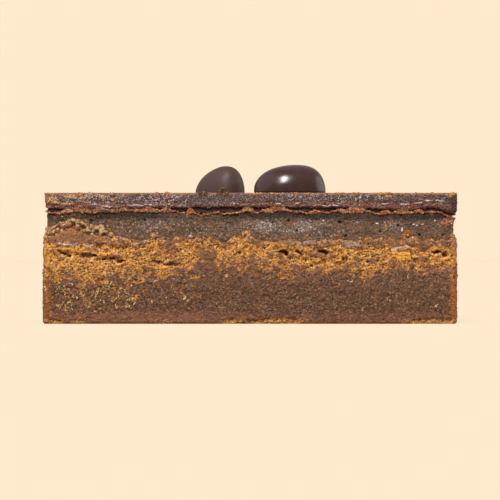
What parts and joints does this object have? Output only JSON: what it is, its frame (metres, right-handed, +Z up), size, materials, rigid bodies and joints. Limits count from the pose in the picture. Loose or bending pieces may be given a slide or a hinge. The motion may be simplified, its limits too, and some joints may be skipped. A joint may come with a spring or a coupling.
{
  "type": "blondie",
  "caption": "Cut slice of layered blondie: dense brown cake, golden crumb layer, moist fudge under a papery crust, chocolate top and chocolate-coated beans.",
  "frame": {"origin": "middle of the slice's underside, on the surface that it rests on", "axes": "+Z up; +X along the slice's length, towards the right-hand end of the cut front face as seen in the picture; the front face looks along -Y"},
  "size_m": [0.076, 0.054, 0.0297],
  "materials": {
    "brown_cake": "dense fine-grained baked cake, cut with a knife, matt and slightly moist",
    "golden_crumb": "coarse golden-brown baked crumb, matt",
    "moist_fudge": "moist fudge under a thin flaky crust, satin with wet glints",
    "dark_chocolate": "set dark chocolate, satin on top and granular where cut",
    "bean_coating": "polished dark chocolate coating, glossy"
  },
  "bodies": {
    "root": {"cake_base": "brown_cake", "crumb_layer": "golden_crumb", "fudge_layer": "moist_fudge", "chocolate_top": "dark_chocolate", "bean_left": "bean_coating", "bean_right": "bean_coating"}
  },
  "joints": []
}
